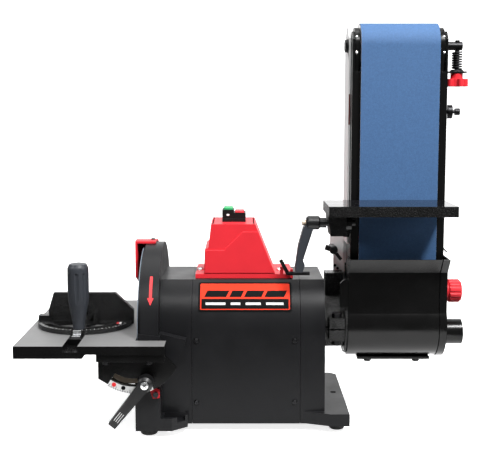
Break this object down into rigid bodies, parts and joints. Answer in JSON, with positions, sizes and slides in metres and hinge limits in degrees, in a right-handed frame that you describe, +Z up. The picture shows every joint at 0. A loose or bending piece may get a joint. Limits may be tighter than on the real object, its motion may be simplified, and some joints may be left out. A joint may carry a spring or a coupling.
{
  "type": "belt and disc grinder",
  "caption": "Bench grinder with a wide abrasive belt on a swinging arm at one end of the motor and a sanding disc with a tilting table at the other.",
  "frame": {"origin": "on the bench, under the middle of the machine's box and under the motor shaft", "axes": "+X along the motor shaft from the disc to the belt, +Y from the operator to the back, +Z up"},
  "size_m": [0.5752, 0.303, 0.5218],
  "materials": {
    "charcoal_casting": "satin textured powder coat",
    "black_casting": "satin black powder coat",
    "black_speckled": "rough sand-cast face under gloss black paint",
    "light_grey_panel": "smooth satin light grey paint",
    "red_plastic": "moulded with a fine grain",
    "green_plastic": "moulded",
    "black_plastic": "moulded with a fine grain",
    "grey_grip": "moulded and fluted",
    "label_print": "printed film with a black border",
    "scale_print": "printed plate",
    "rubber": "moulded",
    "ground_table": "ground top, black painted edges",
    "gloss_black_table": "gloss black top, rough edges",
    "zinc_steel": "zinc plated",
    "black_steel": "black oxide",
    "bright_steel": "turned",
    "electric_steel": "stacked sheet",
    "copper": "lacquered wire",
    "aluminium": "turned",
    "blue_abrasive": "coated abrasive cloth, blue grain",
    "grey_abrasive": "coated abrasive disc"
  },
  "bodies": {
    "base": {"left_end_casting": "charcoal_casting", "motor_shroud": "charcoal_casting", "right_end_casting": "charcoal_casting", "button_screws": "black_steel", "label_plate": "label_print", "rubber_feet": "rubber", "cord_gland": "black_plastic", "stator_core": "electric_steel", "windings": "copper", "shaft_bearings": "bright_steel", "run_capacitor": "aluminium", "disc_guard": "red_plastic", "angle_pointer": "red_plastic", "switch_box": "red_plastic", "hex_key": "black_steel", "switch_body": "black_plastic"},
    "shaft": {"rotor": "electric_steel", "motor_shaft": "bright_steel", "cooling_fan": "black_plastic", "disc_plate": "aluminium", "abrasive_disc": "grey_abrasive", "drive_drum": "aluminium"},
    "disc_table": {"disc_table": "ground_table", "front_trunnion": "black_casting", "rear_trunnion": "black_casting", "trunnion_screws": "black_steel", "angle_scale": "scale_print"},
    "front_lock_lever": {"front_lock_lever": "black_plastic"},
    "rear_lock_lever": {"rear_lock_lever": "black_plastic"},
    "mitre_bar": {"mitre_bar": "black_steel", "mitre_pointer": "zinc_steel"},
    "mitre_head": {"mitre_head": "black_speckled"},
    "mitre_grip": {"mitre_grip": "grey_grip"},
    "on_button": {"on_button": "green_plastic"},
    "off_button": {"off_button": "red_plastic"},
    "belt_arm": {"arm_clamp": "black_speckled", "arm_clamp_bolt": "black_steel", "belt_arm": "black_casting", "platen": "bright_steel", "abrasive_belt": "blue_abrasive", "belt_guard": "light_grey_panel", "arm_stop_plate": "light_grey_panel", "drum_cover": "black_casting", "end_cap": "black_casting", "dust_port": "black_casting", "clean_out_plate": "black_casting", "arm_hex_screws": "black_steel", "spring_tab": "black_steel", "tension_spring": "black_steel", "belt_table_bracket": "black_casting"},
    "arm_lock_handle": {"arm_lock_handle": "black_plastic"},
    "end_cap_knob": {"end_cap_knob": "red_plastic"},
    "idler_slide": {"idler_axle": "black_steel", "tension_screw": "black_steel", "idler_brackets": "black_casting"},
    "idler_roller": {"idler_roller": "aluminium"},
    "tension_knob": {"tension_knob": "red_plastic"},
    "tracking_screw": {"tracking_screw": "black_steel"},
    "belt_table": {"belt_table": "gloss_black_table"},
    "belt_table_lever": {"belt_table_lever": "grey_grip"}
  },
  "joints": [
    {"name": "shaft_spin", "type": "hinge", "parent": "base", "child": "shaft", "pos_m": [0, 0, 0.1255], "axis": [1, 0, 0], "continuous": true},
    {"name": "table_tilt", "type": "hinge", "parent": "base", "child": "disc_table", "pos_m": [-0.143, 0, 0.122], "axis": [0, -1, 0], "range_deg": [0, 45]},
    {"name": "front_lever_turn", "type": "hinge", "parent": "base", "child": "front_lock_lever", "pos_m": [-0.1275, -0.13, 0.0795], "axis": [0, -1, 0], "range_deg": [-15, 75]},
    {"name": "rear_lever_turn", "type": "hinge", "parent": "base", "child": "rear_lock_lever", "pos_m": [-0.1275, 0.13, 0.0795], "axis": [0, -1, 0], "range_deg": [-15, 75]},
    {"name": "mitre_slide", "type": "slide", "parent": "disc_table", "child": "mitre_bar", "axis": [0, 1, 0], "range_m": [-0.03, 0.1]},
    {"name": "mitre_turn", "type": "hinge", "parent": "mitre_bar", "child": "mitre_head", "pos_m": [-0.2184, -0.02, 0.128], "axis": [0, 0, 1], "range_deg": [-55, 55]},
    {"name": "mitre_grip_turn", "type": "hinge", "parent": "mitre_bar", "child": "mitre_grip", "pos_m": [-0.2184, -0.072, 0.17], "axis": [0, 0, 1], "continuous": true},
    {"name": "on_button_press", "type": "slide", "parent": "base", "child": "on_button", "axis": [0, 0, -1], "range_m": [0, 0.0025], "stiffness_N_per_m": 500, "springref_m": -0.002},
    {"name": "off_button_press", "type": "slide", "parent": "base", "child": "off_button", "axis": [0, 0, -1], "range_m": [0, 0.0025], "stiffness_N_per_m": 500, "springref_m": -0.002},
    {"name": "arm_swing", "type": "hinge", "parent": "base", "child": "belt_arm", "pos_m": [0.11, 0, 0.1255], "axis": [-1, 0, 0], "range_deg": [0, 90]},
    {"name": "arm_lock_turn", "type": "hinge", "parent": "belt_arm", "child": "arm_lock_handle", "pos_m": [0.115, 0.03, 0.2195], "axis": [0, 1, 0], "range_deg": [-60, 60]},
    {"name": "end_cap_knob_turn", "type": "hinge", "parent": "belt_arm", "child": "end_cap_knob", "pos_m": [0.27, -0.01, 0.169], "axis": [1, 0, 0], "continuous": true},
    {"name": "idler_tension", "type": "slide", "parent": "belt_arm", "child": "idler_slide", "axis": [0, 0, 1], "range_m": [-0.008, 0], "stiffness_N_per_m": 9000, "springref_m": 0.006, "deforming": ["tension_spring"]},
    {"name": "idler_spin", "type": "hinge", "parent": "idler_slide", "child": "idler_roller", "pos_m": [0.1941, 0, 0.4926], "axis": [1, 0, 0], "continuous": true},
    {"name": "tension_knob_turn", "type": "hinge", "parent": "belt_arm", "child": "tension_knob", "pos_m": [0.2725, 0, 0.45], "axis": [0, 0, 1], "continuous": true},
    {"name": "tracking_turn", "type": "hinge", "parent": "belt_arm", "child": "tracking_screw", "pos_m": [0.265, 0.004, 0.407], "axis": [1, 0, 0], "range_deg": [-60, 60]},
    {"name": "belt_table_tilt", "type": "hinge", "parent": "belt_arm", "child": "belt_table", "pos_m": [0.11, -0.08, 0.269], "axis": [1, 0, 0], "range_deg": [0, 45]},
    {"name": "belt_table_lever_turn", "type": "hinge", "parent": "belt_arm", "child": "belt_table_lever", "pos_m": [0.08, -0.08, 0.269], "axis": [1, 0, 0], "range_deg": [-45, 45]}
  ],
  "couplings": [
    {"joint": "idler_spin", "follows": "shaft_spin", "ratio": 1}
  ]
}
